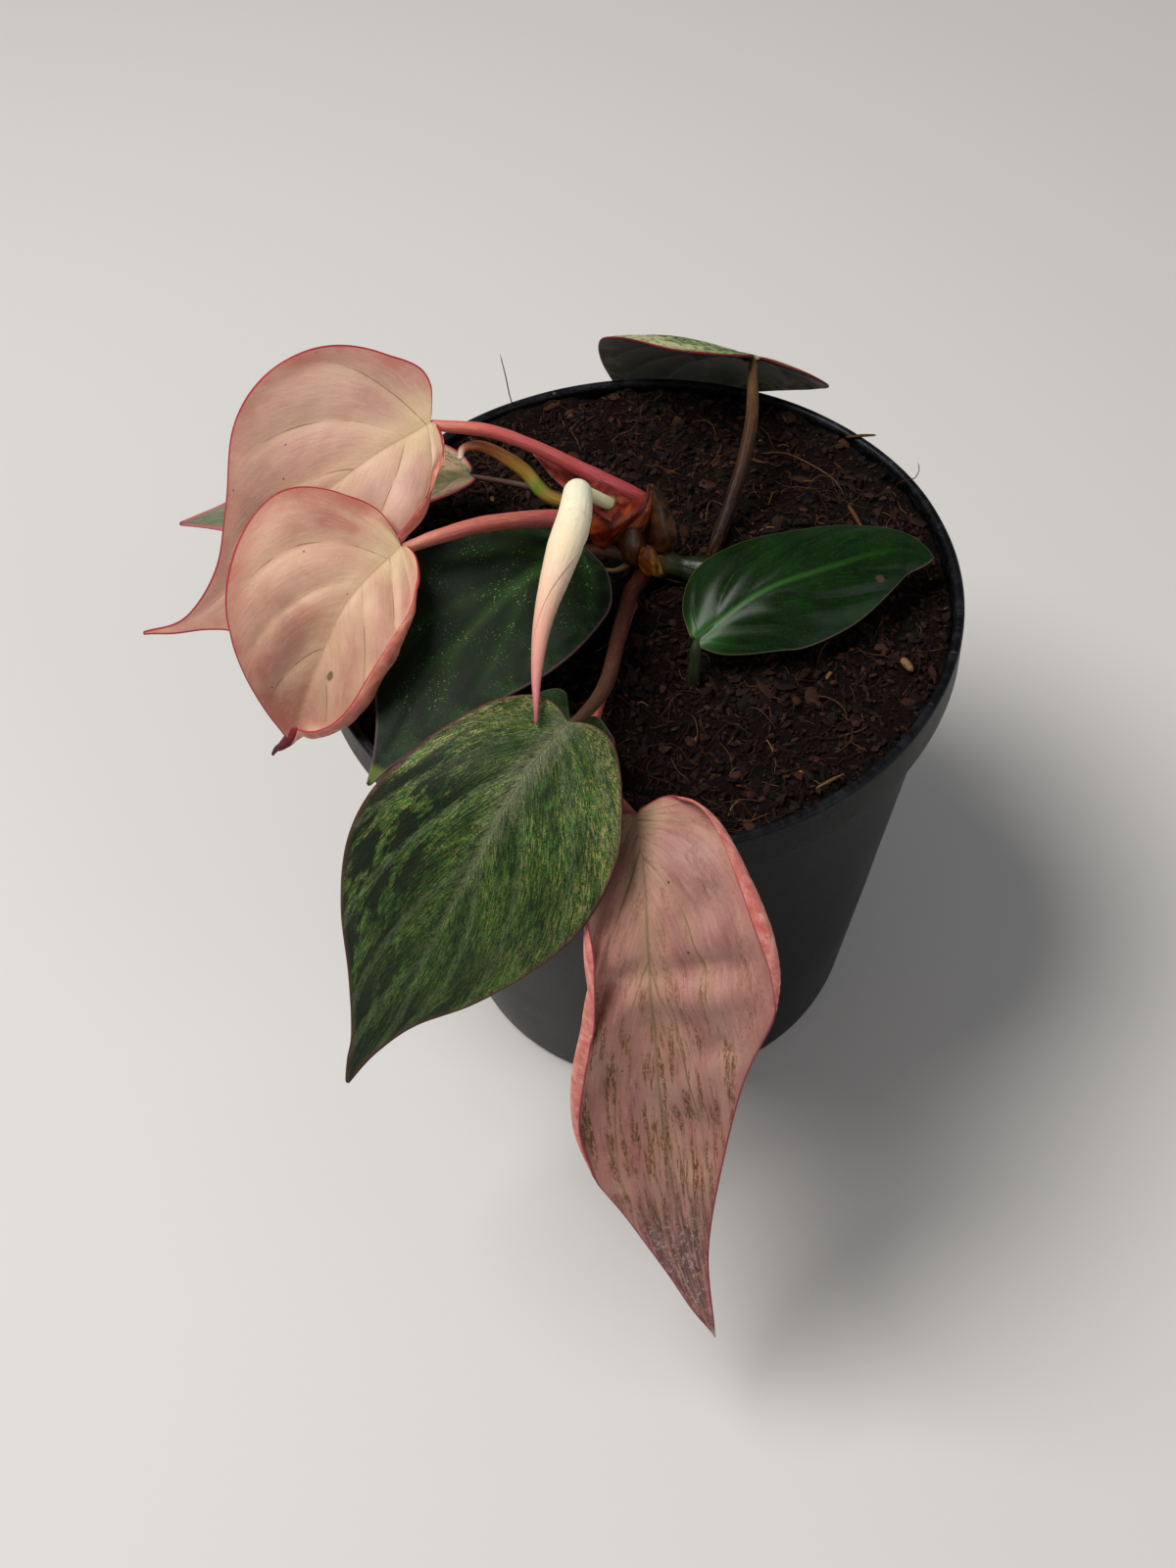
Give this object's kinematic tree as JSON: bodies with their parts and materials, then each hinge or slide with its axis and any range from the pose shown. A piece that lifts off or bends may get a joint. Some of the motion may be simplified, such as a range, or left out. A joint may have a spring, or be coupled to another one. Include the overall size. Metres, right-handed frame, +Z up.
{
  "type": "potted philodendron plant",
  "caption": "Small climbing aroid with heart-shaped pink, cream-flecked and velvety green leaves, arching stalks and a rolled new leaf, in a black plastic nursery pot.",
  "frame": {"origin": "middle of the underside of the pot's base", "axes": "+Z up along the pot's axis; -Y towards the front, where two leaves hang over the rim; +X to the right seen from the front"},
  "size_m": [0.1357, 0.1686, 0.1341],
  "materials": {
    "black_plastic": "satin",
    "coir_mix": "matte",
    "pink_leaf": "satin",
    "dusty_pink_leaf": "satin",
    "flecked_leaf": "satin",
    "velvet_leaf": "matte",
    "glossy_leaf": "gloss",
    "olive_leaf": "satin",
    "tan_leaf": "satin",
    "cream_leaf": "satin",
    "pink_stalk": "satin",
    "brown_stalk": "satin",
    "green_stem": "satin",
    "dry_sheath": "satin"
  },
  "bodies": {
    "root": {"nursery_pot": "black_plastic", "potting_mix": "coir_mix", "blade_upper_pink": "pink_leaf", "petiole_upper_pink": "pink_stalk", "blade_front_pink": "pink_leaf", "petiole_front_pink": "pink_stalk", "blade_dark_velvet": "velvet_leaf", "petiole_dark_velvet": "brown_stalk", "blade_large_green": "flecked_leaf", "petiole_large_green": "brown_stalk", "blade_long_pink": "dusty_pink_leaf", "petiole_long_pink": "pink_stalk", "blade_glossy_green": "glossy_leaf", "petiole_glossy_green": "green_stem", "blade_small_left": "tan_leaf", "petiole_small_left": "brown_stalk", "blade_olive_under": "velvet_leaf", "petiole_olive_under": "brown_stalk", "blade_back": "olive_leaf", "petiole_back": "brown_stalk", "pink_sheath": "dry_sheath", "torn_sheath": "dry_sheath", "olive_sheath": "dry_sheath", "papery_sheath": "dry_sheath", "main_stem": "green_stem", "aerial_root": "brown_stalk", "new_leaf_stalk": "cream_leaf", "new_leaf_roll": "cream_leaf", "hooked_tube": "green_stem"}
  },
  "joints": []
}
